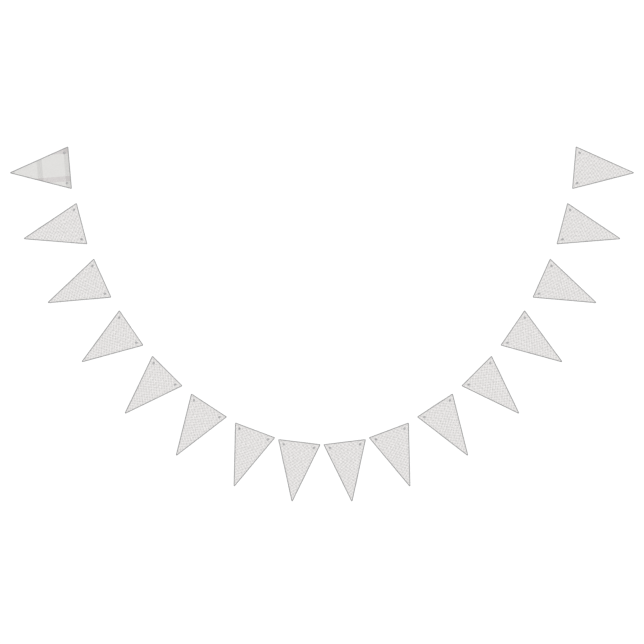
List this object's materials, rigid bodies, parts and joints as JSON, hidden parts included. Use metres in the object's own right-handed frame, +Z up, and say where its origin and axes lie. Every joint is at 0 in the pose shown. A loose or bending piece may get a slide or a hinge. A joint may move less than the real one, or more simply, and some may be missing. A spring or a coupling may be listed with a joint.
{
  "type": "bunting",
  "caption": "Bunting of triangular cloth pennants laid out flat in a swag, with metal eyelets in each heading for a cord.",
  "frame": {"origin": "middle of the set's box, on the surface that the pennants lie on", "axes": "+X along the swag from the left end to the right end, +Y from the lowest pennants up to the ends, +Z up from the surface"},
  "size_m": [2.2302, 1.268, 0.002],
  "materials": {
    "mottled_cotton": "pale grey woven cotton with a faint darker half-drop figure and an overlocked grey edge",
    "checked_cotton": "pale grey woven cotton with wide faint crossing bands and an overlocked grey edge",
    "eyelet_steel": "satin nickel-plated eyelets"
  },
  "bodies": {
    "root": {"flag_01_eyelet_left": "eyelet_steel", "flag_01_eyelet_right": "eyelet_steel", "flag_01_heading": "checked_cotton", "flag_01_panel": "checked_cotton", "flag_02_heading": "mottled_cotton", "flag_02_panel": "mottled_cotton", "flag_03_eyelet_left": "eyelet_steel", "flag_03_eyelet_right": "eyelet_steel", "flag_03_heading": "mottled_cotton", "flag_03_panel": "mottled_cotton", "flag_04_eyelet_left": "eyelet_steel", "flag_04_eyelet_right": "eyelet_steel", "flag_04_heading": "mottled_cotton", "flag_04_panel": "mottled_cotton", "flag_05_eyelet_left": "eyelet_steel", "flag_05_eyelet_right": "eyelet_steel", "flag_05_heading": "mottled_cotton", "flag_05_panel": "mottled_cotton", "flag_06_eyelet_left": "eyelet_steel", "flag_06_eyelet_right": "eyelet_steel", "flag_06_heading": "mottled_cotton", "flag_06_panel": "mottled_cotton", "flag_07_eyelet_left": "eyelet_steel", "flag_07_eyelet_right": "eyelet_steel", "flag_07_heading": "mottled_cotton", "flag_07_panel": "mottled_cotton", "flag_08_eyelet_left": "eyelet_steel", "flag_08_eyelet_right": "eyelet_steel", "flag_08_heading": "mottled_cotton", "flag_08_panel": "mottled_cotton", "flag_09_eyelet_left": "eyelet_steel", "flag_09_eyelet_right": "eyelet_steel", "flag_09_heading": "mottled_cotton", "flag_09_panel": "mottled_cotton", "flag_10_eyelet_left": "eyelet_steel", "flag_10_eyelet_right": "eyelet_steel", "flag_10_heading": "mottled_cotton", "flag_10_panel": "mottled_cotton", "flag_11_eyelet_left": "eyelet_steel", "flag_11_eyelet_right": "eyelet_steel", "flag_11_heading": "mottled_cotton", "flag_11_panel": "mottled_cotton", "flag_12_eyelet_left": "eyelet_steel", "flag_12_eyelet_right": "eyelet_steel", "flag_12_heading": "mottled_cotton", "flag_12_panel": "mottled_cotton", "flag_13_eyelet_left": "eyelet_steel", "flag_13_eyelet_right": "eyelet_steel", "flag_13_heading": "mottled_cotton", "flag_13_panel": "mottled_cotton", "flag_14_eyelet_left": "eyelet_steel", "flag_14_eyelet_right": "eyelet_steel", "flag_14_heading": "mottled_cotton", "flag_14_panel": "mottled_cotton", "flag_15_heading": "mottled_cotton", "flag_15_panel": "mottled_cotton", "flag_16_eyelet_left": "eyelet_steel", "flag_16_eyelet_right": "eyelet_steel", "flag_16_heading": "mottled_cotton", "flag_16_panel": "mottled_cotton"}
  },
  "joints": []
}
